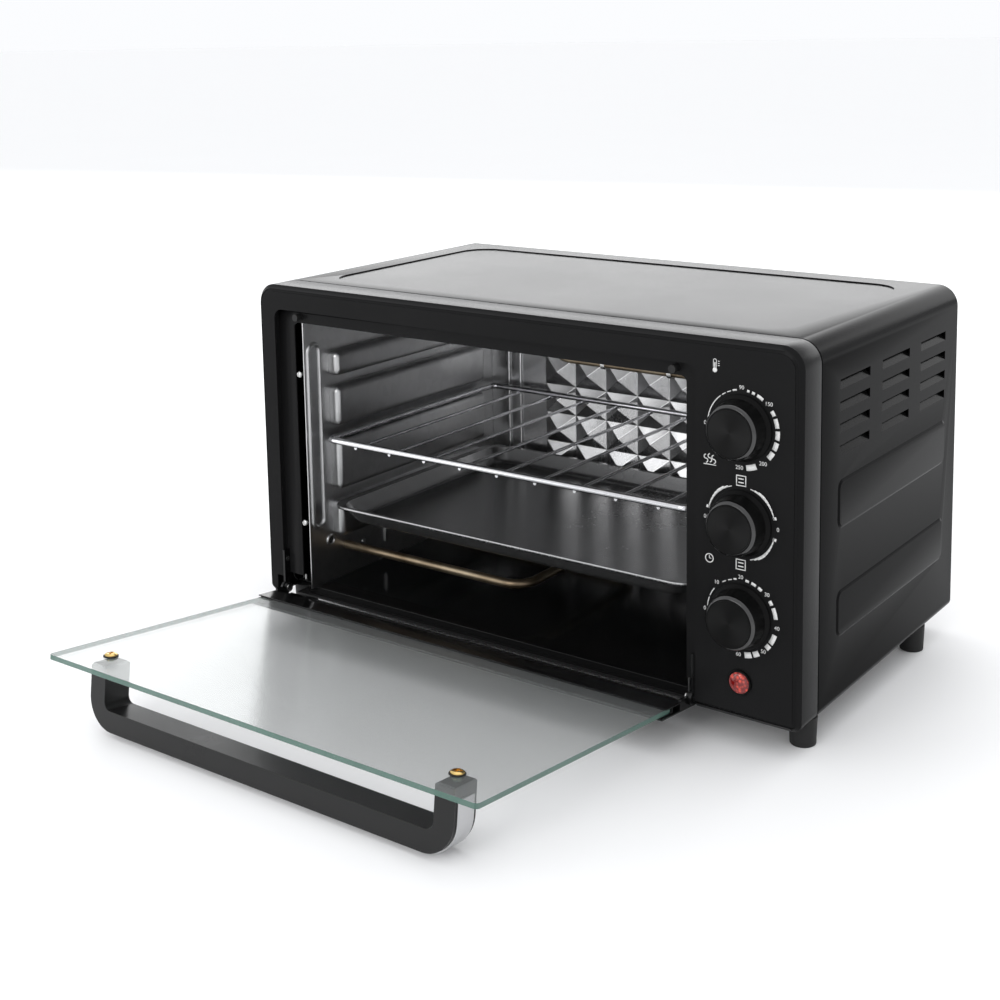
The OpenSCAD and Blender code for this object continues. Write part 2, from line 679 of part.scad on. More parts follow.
handle_xs = [door_x - handle_span / 2, door_x + handle_span / 2];
screw_l = (bar_front + bar_back) / 2;
module door_glass() color("#8fb3a8", 0.5) on_door() difference() {
    along_z(glass_out, glass_in)
        round_rect([door_x - glass_w / 2, -glass_end], [door_x + glass_w / 2, -(rail_l - glass_tuck)], 3);
    for (x = handle_xs) translate([x, -screw_l, glass_out - 1]) cylinder(d = 5, h = glass_t + 2);
}

// Folded rail: an outer skin, an inner lip that holds the glass, and a web between them
rail_web = 12;
lip_t = 0.8;
module door_rail() color("#161618") on_door() difference() {
    union() {
        along_x(rail_x0, rail_x1) {
            translate([-rail_l - 5, glass_out - seal_t - rail_t]) square([rail_l + 5 + rail_tail, rail_t]);
            translate([-rail_l, glass_in + seal_t]) square([rail_l - rail_web, lip_t]);
            translate([-rail_web - lip_t, glass_out - seal_t]) square([lip_t, glass_t + 2 * seal_t]);
        }
        for (x = [rail_x0, rail_x1 - 2]) along_x(x, x + 2) {
            circle(3.6);
            translate([-rail_web, glass_out - seal_t]) square([rail_web, 3]);
            translate([-rail_web, -3.6]) square([rail_web, 5]);
        }
    }
    rod_x(pin_dia, rail_x0 - 1, rail_x1 + 1);
}
// Strip that beds the glass in the rail
module glass_seal() color("#0c0c0c") on_door() along_x(door_x - glass_w / 2, door_x + glass_w / 2) {
    translate([-rail_l - 4, glass_out - seal_t]) square([glass_tuck + 4, seal_t]);
    translate([-rail_l + 0.5, glass_in]) square([glass_tuck - 0.5, seal_t]);
    translate([-rail_l + glass_tuck, glass_out - seal_t]) square([1.5, glass_t + 2 * seal_t]);
}
module hinge_pins() color("#c4c4c8") on_door() {
    rod_x(pin_dia, step_x0 + 0.2, rail_x0 + 2);
    rod_x(pin_dia, rail_x1 - 2, step_x1 - 0.2);
    for (x = [rail_x0 + 2, rail_x1 - 3]) rod_x(pin_dia + 1.5, x, x + 1);
}

// U-shaped grip under the open glass: the outline of the U in the plane across the bar
pad_t = 0.8;
pad_gap = 0.02;
inner_r = 5;
module handle_outline(inset) {
    x0 = handle_xs[0] - bar_t / 2 + inset;
    x1 = handle_xs[1] + bar_t / 2 - inset;
    r = handle_r - inset;
    z0 = bar_out + inset;
    intersection() {
        translate([x0, z0]) square([x1 - x0, glass_out - pad_t - z0]);
        union() {
            translate([x0, z0 + r]) square([x1 - x0, handle_reach]);
            translate([x0 + r, z0]) square([x1 - x0 - 2 * r, r + 1]);
            for (x = [x0 + r, x1 - r]) translate([x, z0 + r]) circle(r);
        }
    }
}
module handle() color("#141415") on_door() difference() {
    translate([0, -bar_back, 0]) rotate([90, 0, 0]) linear_extrude(bar_w) difference() {
        handle_outline(trim_t);
        round_rect([handle_xs[0] + bar_t / 2, bar_out + bar_t], [handle_xs[1] - bar_t / 2, 40], inner_r);
    }
    for (x = handle_xs) translate([x, -screw_l, glass_out - 17]) cylinder(d = 3, h = 20);
}
// Metal strip round the outside of the grip, ending short of the glass
trim_stop = 7;
module handle_trim() color("#a9a9ac") on_door()
    translate([0, -bar_back - 2.5, 0]) rotate([90, 0, 0]) linear_extrude(bar_w - 5) difference() {
        handle_outline(0);
        handle_outline(trim_t);
        translate([-half_w, glass_out - trim_stop]) square([body_w, 40]);
    }
module handle_screws() color("#c8a24a") on_door() for (x = handle_xs) translate([x, -screw_l, 0]) {
    translate([0, 0, glass_in + 0.8]) cylinder(d = 8, h = 1.4);
    translate([0, 0, glass_out - 16]) cylinder(d = 3, h = 16 + glass_t + 0.8);
}
// Washers under the screw heads and pads under the legs
module handle_pads() color("#1a1a1a") on_door() for (x = handle_xs) difference() {
    union() {
        translate([x, -screw_l, glass_in]) cylinder(d = 9.5, h = 0.8);
        translate([x - bar_t / 2 + 1, -bar_front + 1, glass_out - pad_t + pad_gap])
            cube([bar_t - 2, bar_w - 2, pad_t - pad_gap]);
    }
    translate([x, -screw_l, glass_out - 2]) cylinder(d = 3, h = glass_t + 6);
}

// Rack: a wire loop with round corners and cross wires sunk into the underside of its front and rear runs
rack_x0 = in_x0 + slide_fit + frame_wire / 2;
rack_x1 = in_x1 - slide_fit - frame_wire / 2;
rack_y0 = 19;
rack_y1 = rack_y0 + rack_d;
loop_r = 6;
cross_ends = [27, 21];
weld = 0.9;
module wire_rack() color("#d4d4d8") translate([0, 0, base_z + rack_up]) {
    for (y = [rack_y0, rack_y1]) translate([0, y, 0]) rod_x(frame_wire, rack_x0 + loop_r, rack_x1 - loop_r);
    for (x = [rack_x0, rack_x1]) translate([x, 0, 0]) rod_y(frame_wire, rack_y0 + loop_r, rack_y1 - loop_r);
    for (k = [[rack_x1 - loop_r, rack_y1 - loop_r, 0], [rack_x0 + loop_r, rack_y1 - loop_r, 90],
        [rack_x0 + loop_r, rack_y0 + loop_r, 180], [rack_x1 - loop_r, rack_y0 + loop_r, 270]])
        translate([k[0], k[1], 0]) rotate([0, 0, k[2]])
            rotate_extrude(angle = 90) translate([loop_r, 0]) circle(d = frame_wire);
    pitch = (rack_x1 - rack_x0 - cross_ends[0] - cross_ends[1]) / (cross_count - 1);
    for (i = [0:cross_count - 1])
        translate([rack_x0 + cross_ends[0] + i * pitch, 0, weld - (frame_wire + cross_wire) / 2])
            rod_y(cross_wire, rack_y0 - 0.6, rack_y1 + 0.6);
}

// Tray: a pan with a turned-out rim
tray_x0 = in_x0 + slide_fit;
tray_x1 = in_x1 - slide_fit;
rim_w = 9;
tray_r = 16;
module baking_tray() color("#3c3c3e") difference() {
    union() {
        along_z(base_z + tray_up - tray_t, base_z + tray_up)
            round_rect([tray_x0, rack_y0], [tray_x1, rack_y1], tray_r);
        along_z(base_z + tray_up - tray_h, base_z + tray_up)
            round_rect([tray_x0 + rim_w, rack_y0 + 3], [tray_x1 - rim_w, rack_y1 - 3], tray_r - 3);
    }
    along_z(base_z + tray_up - tray_h + tray_t, base_z + tray_up + 1)
        round_rect([tray_x0 + rim_w + tray_t, rack_y0 + 3 + tray_t],
            [tray_x1 - rim_w - tray_t, rack_y1 - 3 - tray_t], tray_r - 3 - tray_t);
}

// Knob: a skirt, a grip with a bevelled rim and a round recess for its cap; the shaft is pressed in
cap_dia = grip_dia - 5;
cap_t = 0.8;
module knob(i) translate([knob_x, 0, knob_z[i]]) rotate([90, 0, 0]) difference() {
    rotate_extrude() polygon([[0, knob_gap], [skirt_dia / 2 - 0.5, knob_gap], [skirt_dia / 2, knob_gap + 0.6],
        [skirt_dia / 2 - 1.5, 2.6], [grip_dia / 2 + 1.2, 3.4], [grip_dia / 2, knob_h - 1.6],
        [grip_dia / 2 - 1.6, knob_h], [0, knob_h]]);
    cylinder(d = neck_dia + 2, h = neck_out + 0.6);
    cylinder(d = shaft_dia, h = knob_h - 3);
    translate([0, 0, knob_h - cap_t]) cylinder(d = cap_dia, h = 2);
}
module knob_cap(i) color("#232325") translate([knob_x, 0, knob_z[i]])
    rod_y(cap_dia, -knob_h, -knob_h + cap_t);
module shaft(i) color("#bdbdc0") translate([knob_x, 0, knob_z[i]]) rod_y(shaft_dia, -knob_h + 3, bore_d - 1);

module temp_knob() color("#131314") knob(0);
module function_knob() color("#131314") knob(1);
module timer_knob() color("#131314") knob(2);
module temp_knob_cap() knob_cap(0);
module function_knob_cap() knob_cap(1);
module timer_knob_cap() knob_cap(2);
module temp_shaft() shaft(0);
module function_shaft() shaft(1);
module timer_shaft() shaft(2);

in_place() cabinet_shell();
in_place() base_plate();
in_place() rear_panel();
in_place() cord_bushing();
in_place() front_frame();
in_place() door_bumpers();
in_place() door_sill();
in_place() cavity_left_wall();
in_place() cavity_right_wall();
in_place() cavity_ceiling();
in_place() cavity_floor();
in_place() cavity_back();
in_place() upper_heater();
in_place() lower_heater();
in_place() heater_insulators();
in_place() heater_clips();
in_place() heat_shield();
in_place() thermostat();
in_place() function_switch();
in_place() timer();
in_place() terminal_block();
in_place() lamp_holder();
in_place() lamp_lens();
in_place() feet();
in_place() foot_screws();
in_place() rear_screws();
in_place() jamb_screws();
in_place() hinge_bracket_left();
in_place() hinge_bracket_right();
in_place() bracket_screws();
in_place() door_glass();
in_place() door_rail();
in_place() glass_seal();
in_place() hinge_pins();
in_place() handle();
in_place() handle_trim();
in_place() handle_screws();
in_place() handle_pads();
in_place() wire_rack();
in_place() baking_tray();
in_place() temp_shaft();
in_place() temp_knob();
in_place() temp_knob_cap();
in_place() function_shaft();
in_place() function_knob();
in_place() function_knob_cap();
in_place() timer_shaft();
in_place() timer_knob();
in_place() timer_knob_cap();
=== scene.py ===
import json
import math
import bmesh
import bpy
from mathutils import Matrix, Vector


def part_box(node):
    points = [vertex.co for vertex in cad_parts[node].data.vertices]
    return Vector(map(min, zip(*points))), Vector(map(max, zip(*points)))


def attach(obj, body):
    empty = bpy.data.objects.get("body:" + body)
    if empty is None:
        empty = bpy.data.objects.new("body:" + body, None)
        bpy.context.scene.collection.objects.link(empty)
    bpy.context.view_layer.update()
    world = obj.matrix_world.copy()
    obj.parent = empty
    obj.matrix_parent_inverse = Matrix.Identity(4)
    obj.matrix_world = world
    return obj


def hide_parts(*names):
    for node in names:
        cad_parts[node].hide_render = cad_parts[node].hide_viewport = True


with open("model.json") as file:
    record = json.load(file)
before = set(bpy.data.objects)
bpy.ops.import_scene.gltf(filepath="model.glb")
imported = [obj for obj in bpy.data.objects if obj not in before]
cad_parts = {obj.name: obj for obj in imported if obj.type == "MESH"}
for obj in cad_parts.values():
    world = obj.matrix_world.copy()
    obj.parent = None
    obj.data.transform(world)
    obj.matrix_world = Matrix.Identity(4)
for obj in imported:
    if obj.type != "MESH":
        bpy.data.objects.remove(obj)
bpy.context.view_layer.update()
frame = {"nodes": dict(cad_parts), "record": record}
mm = 0.001
print("frame loaded:", len(frame["nodes"]), "nodes")

# ---- camera, light and floor ----

cameraView = {"place": (0.5876, -0.7938, 0.4315), "turn": 35.41, "dip": 8.41, "roll": -0.81,
              "lens": 55.79, "shift": (-0.040, -0.250)}


def makeCamera(view):
    data = bpy.data.cameras.new("camera")
    data.lens = view["lens"]
    data.shift_x, data.shift_y = view["shift"]
    camera = bpy.data.objects.new("camera", data)
    bpy.context.scene.collection.objects.link(camera)
    turn, dip, roll = (math.radians(view[key]) for key in ("turn", "dip", "roll"))
    level = Matrix.Rotation(turn, 4, "Z") @ Matrix.Rotation(math.pi / 2 - dip, 4, "X")
    camera.matrix_world = Matrix.Translation(view["place"]) @ level @ Matrix.Rotation(roll, 4, "Z")
    bpy.context.scene.camera = camera


studio = {"world": 1.0, "floorSize": 30.0, "floorTone": 0.985}
softboxes = [("overhead", (0.1, 0.3, 1.9), (0, 0, 0.1), 2.2, 1.4, 5),
             ("leftBox", (-1.5, -1.3, 0.5), (0, 0, 0.12), 1.0, 0.9, 5),
             ("frontBox", (-0.1, -1.9, 1.0), (0, 0, 0.12), 1.0, 0.7, 9),
             ("backBox", (-0.9, 2.6, 1.05), (-0.2, 0, 0.25), 5.0, 1.0, 34)]


def makeSoftbox(name, place, target, width, height, power):
    data = bpy.data.lights.new(name, "AREA")
    data.shape = "RECTANGLE"
    data.size, data.size_y = width, height
    data.energy = power
    light = bpy.data.objects.new(name, data)
    bpy.context.scene.collection.objects.link(light)
    light.location = place
    light.rotation_euler = (Vector(target) - Vector(place)).to_track_quat("-Z", "Y").to_euler()


makeCamera(cameraView)
for box in softboxes:
    makeSoftbox(*box)
print("camera and lights placed")

# ---- shader tools ----


class Value:
    # one shader socket that can be used in sums
    def __init__(self, finish, socket):
        self.finish, self.socket = finish, socket

    def maths(self, operation, first, second):
        return self.finish.node("ShaderNodeMath", {"operation": operation}, {0: first, 1: second})

    def __add__(self, other):
        return self.maths("ADD", self, other)

    def __sub__(self, other):
        return self.maths("SUBTRACT", self, other)

    def __rsub__(self, other):
        return self.maths("SUBTRACT", other, self)

    def __mul__(self, other):
        return self.maths("MULTIPLY", self, other)

    def __pow__(self, other):
        return self.maths("POWER", self, other)

    __radd__ = __add__
    __rmul__ = __mul__


class Finish:
    # one material: a principled shader and what feeds it
    def __init__(self, name):
        self.material = bpy.data.materials.new(name)
        self.material.use_nodes = True
        self.tree = self.material.node_tree
        self.tree.nodes.clear()
        self.output = self.tree.nodes.new("ShaderNodeOutputMaterial")
        self.shader = self.tree.nodes.new("ShaderNodeBsdfPrincipled")
        self.tree.links.new(self.shader.outputs[0], self.output.inputs[0])

    def feed(self, node, inputs):
        for key, value in inputs.items():
            if isinstance(value, Value):
                self.tree.links.new(value.socket, node.inputs[key])
            else:
                node.inputs[key].default_value = value

    def node(self, kind, settings=None, inputs=None, output=0):
        made = self.tree.nodes.new(kind)
        for key, value in (settings or {}).items():
            if key == "stops":
                while len(made.color_ramp.elements) < len(value):
                    made.color_ramp.elements.new(1)
                for element, (place, tone) in zip(made.color_ramp.elements, value):
                    element.position, element.color = place, (tone, tone, tone, 1)
            else:
                setattr(made, key, value)
        self.feed(made, inputs or {})
        return Value(self, made.outputs[output])

    def place(self, stretch=(1, 1, 1), centre=(0, 0, 0)):
        where = self.node("ShaderNodeTexCoord", output="Object")
        return self.node("ShaderNodeMapping", {"vector_type": "TEXTURE"},
                         {"Vector": where, "Location": centre, "Scale": tuple(1 / s for s in stretch)})

    def noise(self, scale, detail=3, stretch=(1, 1, 1), roughness=0.5):
        return self.node("ShaderNodeTexNoise", None, {"Vector": self.place(stretch), "Scale": scale,
                                                      "Detail": detail, "Roughness": roughness})

    def ramp(self, value, *stops):
        return self.node("ShaderNodeValToRGB", {"stops": stops}, {"Fac": value})

    def blend(self, factor, low, high):
        tones = [tone if isinstance(tone, Value) else (*tone, 1) for tone in (low, high)]
        return self.node("ShaderNodeMix", {"data_type": "RGBA"}, {0: factor, 6: tones[0], 7: tones[1]}, 2)

    def bump(self, height, depth, strength=1.0):
        return self.node("ShaderNodeBump", None, {"Height": height, "Distance": depth, "Strength": strength})

    def use(self, **sockets):
        named = {"baseColour": "Base Color", "coatWeight": "Coat Weight", "specular": "Specular IOR Level"}
        for key, value in sockets.items():
            if isinstance(value, tuple):
                value = (*value, 1)
            self.feed(self.shader, {named.get(key, key.capitalize()): value})
        return self.material


# ---- finishes ----

# tone, roughness and size of the grain of each sprayed black
paints = {"shellPaint": {"tone": 0.004, "rough": 0.19, "grain": 1500, "depth": 0.00003, "specular": 0.03},
          "facePaint": {"tone": 0.009, "rough": 0.25, "grain": 1700, "depth": 0.00004, "specular": 0.05},
          "railPaint": {"tone": 0.004, "rough": 0.20, "grain": 1300, "depth": 0.00002, "specular": 0.3},
          "sheetPaint": {"tone": 0.012, "rough": 0.42, "grain": 1300, "depth": 0.00003, "specular": 0.3},
          "floorEnamel": {"tone": 0.005, "rough": 0.14, "grain": 500, "depth": 0.00002, "specular": 0.4}}


def sprayedBlack(name, tone, rough, grain, depth, specular):
    paint = Finish(name)
    peel = paint.noise(grain, 2)
    cloud = paint.noise(9, 4)
    dust = paint.ramp(paint.noise(2600, 2), (0.66, 0), (0.74, 1))
    base = paint.blend(cloud, (tone * 0.8,) * 3, (tone * 1.25, tone * 1.25, tone * 1.3))
    return paint.use(baseColour=paint.blend(dust * 0.3, base, (tone * 3,) * 3),
                     roughness=rough + 0.10 * (cloud - 0.5) + 0.08 * (peel - 0.5),
                     specular=specular, normal=paint.bump(peel, depth, 0.7))


def bareSheet(name, tone, rough, metallic=1.0, cloudy=0.2, coat=0.0):
    sheet = Finish(name)
    spangle = sheet.node("ShaderNodeTexVoronoi", None, {"Vector": sheet.place(), "Scale": 150}, 1)
    grey = sheet.node("ShaderNodeSeparateColor", None, {0: spangle})
    grain = sheet.noise(420, 3, (1, 1, 0.2))
    cloud = sheet.noise(9, 4)
    low, high = tone * (1 - cloudy), tone * (1 + cloudy)
    return sheet.use(baseColour=sheet.blend(grey * 0.2 + cloud * 0.8, (low,) * 3, (high, high, high * 1.01)),
                     metallic=metallic, roughness=rough + 0.10 * (cloud - 0.5) + 0.06 * (grain - 0.5),
                     coatWeight=coat, normal=sheet.bump(grain * 0.7 + grey * 0.3, 0.00002, 0.4))


def brightMetal(name, colour, rough, streaks=(1, 1, 1), grain=700):
    metal = Finish(name)
    fine = metal.noise(grain, 3, streaks)
    cloud = metal.noise(40, 4)
    dark = tuple(part * 0.72 for part in colour)
    return metal.use(baseColour=metal.blend(cloud * 0.6 + fine * 0.4, dark, colour), metallic=1.0,
                     roughness=rough + 0.14 * (fine - 0.5) + 0.08 * (cloud - 0.5),
                     normal=metal.bump(fine, 0.00002, 0.5))


def heatedTube():
    tube = Finish("heatedTube")
    bands = tube.noise(28, 3, (1, 1, 1))
    grain = tube.noise(1500, 2)
    hot = tube.ramp(bands, (0.35, 0), (0.65, 1))
    return tube.use(baseColour=tube.blend(hot, (0.15, 0.11, 0.07), (0.33, 0.27, 0.19)), metallic=0.9,
                    roughness=0.34 + 0.14 * (bands - 0.5), normal=tube.bump(grain, 0.00003, 0.6))


def clearGlass():
    glass = Finish("clearGlass")
    facing = glass.node("ShaderNodeLayerWeight", None, {"Blend": 0.5}, 1)
    wipe = glass.noise(14, 5, (1, 4, 1), 0.6)
    alpha = 0.13 + 0.44 * facing ** 1.6 + 0.03 * (wipe - 0.5)
    return glass.use(baseColour=(0.46, 0.48, 0.475), metallic=0.45, specular=0.4,
                     roughness=0.20 + 0.08 * (wipe - 0.5), alpha=alpha)


def glassEdge():
    edge = Finish("glassEdge")
    ground = edge.noise(900, 3)
    depth = edge.noise(22, 2)
    return edge.use(baseColour=edge.blend(depth, (0.035, 0.085, 0.068), (0.10, 0.19, 0.155)),
                    roughness=0.14 + 0.2 * ground, alpha=0.90 + 0.08 * depth,
                    normal=edge.bump(ground, 0.00004, 0.5))


def mouldedPlastic(name, tone, rough, grain=1900, depth=0.00003, specular=0.3):
    plastic = Finish(name)
    fine = plastic.noise(grain, 2)
    cloud = plastic.noise(24, 3)
    return plastic.use(baseColour=plastic.blend(cloud, (tone,) * 3, (tone * 1.5,) * 3), specular=specular,
                       roughness=rough + 0.12 * (cloud - 0.5) + 0.08 * (fine - 0.5),
                       normal=plastic.bump(fine, depth, 0.6))


# turned rings round a knob's own middle, which is the middle of its box, with a painted sheen that makes two
# opposite sectors lighter
def turnedCap(name, centre):
    cap = Finish(name)
    where = cap.place(centre=tuple(centre))
    parts = [cap.node("ShaderNodeSeparateXYZ", None, {0: where}, axis) for axis in (0, 2)]
    radius = (parts[0] * parts[0] + parts[1] * parts[1]) ** 0.5
    rings = cap.node("ShaderNodeTexNoise", {"noise_dimensions": "1D"},
                     {"W": radius, "Scale": 2600, "Detail": 3})
    around = cap.node("ShaderNodeMath", {"operation": "ARCTAN2"}, {0: parts[1], 1: parts[0]})
    # painted sheen: the colour is lighter in two opposite sectors, as light falls on the turned rings
    paintedSheen = cap.node("ShaderNodeMath", {"operation": "COSINE"}, {0: around * 2 + 0.7}) * 0.5 + 0.5
    return cap.use(baseColour=cap.blend(rings * 0.4 + paintedSheen * 0.6, (0.003,) * 3, (0.014,) * 3), metallic=0.4,
                   specular=0.12, roughness=0.24 + 0.16 * rings, normal=cap.bump(rings, 0.00006, 0.6))


def redLens():
    lens = Finish("redLens")
    cells = lens.node("ShaderNodeTexVoronoi", None, {"Vector": lens.place(), "Scale": 420}, 0)
    # painted highlight: each cell of the lens is lighter at its middle
    paintedCellHighlight = lens.ramp(cells, (0.1, 1), (0.55, 0))
    return lens.use(baseColour=lens.blend(paintedCellHighlight, (0.16, 0.004, 0.004), (0.75, 0.06, 0.03)), coatWeight=0.6,
                    roughness=0.08 + 0.1 * cells, normal=lens.bump(cells, 0.0004, 0.7))


def whitePrint():
    ink = Finish("whitePrint")
    wear = ink.noise(1400, 3)
    return ink.use(baseColour=ink.blend(wear, (0.62, 0.62, 0.61), (0.80, 0.80, 0.79)),
                   roughness=0.5 + 0.1 * wear)


def ceramicBody():
    clay = Finish("ceramicBody")
    speck = clay.noise(900, 4)
    return clay.use(baseColour=clay.blend(speck, (0.62, 0.58, 0.50), (0.78, 0.75, 0.68)),
                    roughness=0.55 + 0.2 * speck, normal=clay.bump(speck, 0.00006, 0.6))


def paleFloor():
    floor = Finish("paleFloor")
    mottle = floor.noise(3, 4)
    tone = studio["floorTone"]
    return floor.use(baseColour=floor.blend(mottle, (tone * 0.99,) * 3, (tone,) * 3),
                     roughness=0.6 + 0.1 * mottle)


finishes = {name: sprayedBlack(name, **values) for name, values in paints.items()}
finishes.update({
    "liner": bareSheet("linerSheet", 0.50, 0.33), "backSheet": bareSheet("backSheet", 0.62, 0.25),
    "shield": bareSheet("shieldSheet", 0.5, 0.4), "tray": bareSheet("trayCoating", 0.20, 0.25, 0.9, 0.1),
    "tube": heatedTube(), "glass": clearGlass(), "edge": glassEdge(), "lens": redLens(),
    "print": whitePrint(), "rim": brightMetal("trayRim", (0.60, 0.60, 0.60), 0.26, grain=900),
    "ceramic": ceramicBody(), "chrome": brightMetal("chromeWire", (0.78, 0.78, 0.80), 0.14),
    "zinc": brightMetal("zincSteel", (0.70, 0.70, 0.69), 0.24),
    "brass": brightMetal("brassScrew", (0.80, 0.57, 0.22), 0.2),
    "trim": brightMetal("brushedTrim", (0.62, 0.62, 0.63), 0.30, (0.03, 1, 1), 2600),
    "rubber": mouldedPlastic("rubber", 0.010, 0.62, 1200, 0.00006),
    "handle": mouldedPlastic("handlePlastic", 0.007, 0.30),
    "knob": mouldedPlastic("knobPlastic", 0.003, 0.36, specular=0.08),
    "knobRim": mouldedPlastic("knobRim", 0.004, 0.16, 900, 0.00001, 0.9),
    "switch": mouldedPlastic("switchPlastic", 0.08, 0.5)})
print("finishes made:", len(finishes))

# ---- mesh tools ----


def newPiece(name, mesh, finish, body, node=None, bevel=None):
    shape = bpy.data.meshes.new(name)
    mesh.to_mesh(shape)
    mesh.free()
    piece = bpy.data.objects.new(name, shape)
    bpy.context.scene.collection.objects.link(piece)
    for each in finish if isinstance(finish, list) else [finish]:
        shape.materials.append(finishes[each])
    shape.shade_smooth()
    shape.set_sharp_from_angle(angle=math.radians(32))
    if bevel:
        rounding = piece.modifiers.new("rounding", "BEVEL")
        rounding.width, rounding.segments = bevel["width"], bevel.get("segments", 2)
        rounding.limit_method, rounding.angle_limit = "ANGLE", math.radians(bevel.get("angle", 32))
        rounding.harden_normals = True
    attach(piece, body)
    if node:
        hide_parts(node)
    return piece


def mergedCopy(node):
    mesh = bmesh.new()
    mesh.from_mesh(frame["nodes"][node].data)
    bmesh.ops.remove_doubles(mesh, verts=mesh.verts, dist=0.002 * mm)
    bmesh.ops.dissolve_limit(mesh, angle_limit=math.radians(0.4), verts=mesh.verts, edges=mesh.edges)
    return mesh


bodyOf = {node: body for body, nodes in frame["record"]["behaviour"]["bodies"].items() for node in nodes}


def camel(node):
    first, *rest = node.split("_")
    return first + "".join(word.capitalize() for word in rest)


# corner positions of each separate solid in a node
def solids(node):
    mesh = mergedCopy(node)
    left, groups = set(mesh.verts), []
    while left:
        reached, waiting = [], [left.pop()]
        while waiting:
            corner = waiting.pop()
            reached.append(corner.co.copy())
            near = {edge.other_vert(corner) for edge in corner.link_edges} & left
            waiting += near
            left -= near
        groups.append(reached)
    mesh.free()
    return groups


def addBlock(mesh, low, high, rounding=0.0, segments=4):
    made = bmesh.ops.create_cube(mesh, size=1)["verts"]
    low, high = Vector(low), Vector(high)
    bmesh.ops.scale(mesh, vec=high - low, verts=made)
    bmesh.ops.translate(mesh, vec=(low + high) / 2, verts=made)
    if rounding:
        edges = list({edge for corner in made for edge in corner.link_edges})
        bmesh.ops.bevel(mesh, geom=edges, offset=rounding, segments=segments, profile=0.5, affect="EDGES",
                        material=-1, clamp_overlap=True)
    return made


# pieces that keep the frame's shape, with their sharp edges rounded
softened = [("door_rail", "railPaint", 0.25, 2), ("handle", "handle", 1.6, 4),
            ("handle_trim", "trim", 0.2, 2), ("feet", "rubber", 0.6, 3),
            ("rear_panel", "sheetPaint", 0.2, 2), ("door_sill", "railPaint", 0.3, 3),
            ("cord_bushing", "rubber", 0.6, 3), ("lamp_holder", "knob", 0.25, 2),
            ("handle_pads", "rubber", 0.2, 2)]
for node, finish, width, segments in softened:
    newPiece(camel(node), mergedCopy(node), finish, bodyOf[node], node,
             {"width": width * mm, "segments": segments})
print("rounded pieces made:", len(softened))

# ---- cabinet ----

pressed = {"sideRun": 1.7, "topRun": 0.3, "topDepth": 0.8}
seamEdge = {"round": 0.5, "segments": 3}
faceRim = {"groove": 1.1, "depth": 0.6, "round": 2.2, "segments": 5}


# rounds the outer edges of a cover that lie at one depth, where it meets the next cover
def roundSeam(mesh, depth, width, segments):
    middle = sum((corner.co for corner in mesh.verts), Vector()) / len(mesh.verts)
    chosen = []
    for edge in mesh.edges:
        atDepth = all(abs(corner.co.y - depth) < 0.02 * mm for corner in edge.verts)
        walls = [face for face in edge.link_faces if abs(face.normal.y) < 0.5]
        spot = (edge.verts[0].co + edge.verts[1].co) / 2
        if atDepth and len(walls) == 1 and len(edge.link_faces) == 2:
            out = Vector((spot.x - middle.x, 0, spot.z - middle.z))
            if walls[0].normal.dot(out) > 0:
                chosen.append(edge)
    bmesh.ops.bevel(mesh, geom=chosen, offset=width * mm, segments=segments, profile=0.5, affect="EDGES",
                    material=-1, clamp_overlap=True)


# the face's bevel is rounded, and a groove runs along its inner edge
def makeFrontFrame():
    mesh = mergedCopy("front_frame")
    low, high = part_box("front_frame")
    roundSeam(mesh, high.y, seamEdge["round"], seamEdge["segments"])
    slopes = [face for face in mesh.faces if -0.9 < face.normal.y < -0.3]
    outer, inner = [], []
    for edge in {edge for face in slopes for edge in face.edges}:
        depth = [corner.co.y - low.y for corner in edge.verts]
        flat = [face for face in edge.link_faces if face.normal.y < -0.99]
        walls = [face for face in edge.link_faces if abs(face.normal.y) < 0.1]
        if flat and max(depth) < 0.05 * mm:
            inner.append(edge)
        elif walls and min(depth) > 3 * mm and len(edge.link_faces) == 2:
            outer.append(edge)
    bmesh.ops.bevel(mesh, geom=outer, offset=faceRim["round"] * mm, segments=faceRim["segments"], profile=0.5,
                    affect="EDGES", material=-1, clamp_overlap=True)
    inner = [edge for edge in inner if edge.is_valid]
    strip = bmesh.ops.bevel(mesh, geom=inner, offset=faceRim["groove"] * mm, segments=1, profile=0.5,
                            affect="EDGES", material=-1, clamp_overlap=True)["faces"]
    sunk = bmesh.ops.extrude_face_region(mesh, geom=strip)["geom"]
    bottom = [part for part in sunk if isinstance(part, bmesh.types.BMVert)]
    bmesh.ops.translate(mesh, vec=(0, faceRim["depth"] * mm, 0), verts=bottom)
    bmesh.ops.delete(mesh, geom=strip, context="FACES_ONLY")
    newPiece("frontFrame", mesh, "facePaint", "oven", "front_frame",
             {"width": 0.3 * mm, "segments": 2})


# the pressed panels get sloping sides: the outline of each panel's flat moves towards its middle
def makeShell():
    mesh = mergedCopy("cabinet_shell")
    low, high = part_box("cabinet_shell")
    floor = high.z - pressed["topDepth"] * mm
    moves = []
    for corner in mesh.verts:
        onSide = abs(corner.co.x) > high.x - 0.01 * mm
        onTop = abs(corner.co.z - floor) < 0.01 * mm and high.x - abs(corner.co.x) > 25 * mm
        if onSide or onTop:
            axis = 0 if onSide else 2
            walls = [face.normal for face in corner.link_faces if abs(face.normal[axis]) < 0.1]
            run = -pressed["sideRun"] if onSide else pressed["topRun"]
            moves.append((corner, sum(walls, Vector()).normalized() * run * mm))
    for corner, move in moves:
        corner.co += move
    roundSeam(mesh, low.y, seamEdge["round"], seamEdge["segments"])
    newPiece("cabinetShell", mesh, "shellPaint", "oven", "cabinet_shell",
             {"width": 0.3 * mm, "segments": 2, "angle": 20})


makeShell()
makeFrontFrame()
print("cabinet made")

# ---- knobs ----

knobShape = {"round": 0.3, "rimWidth": 1.7}


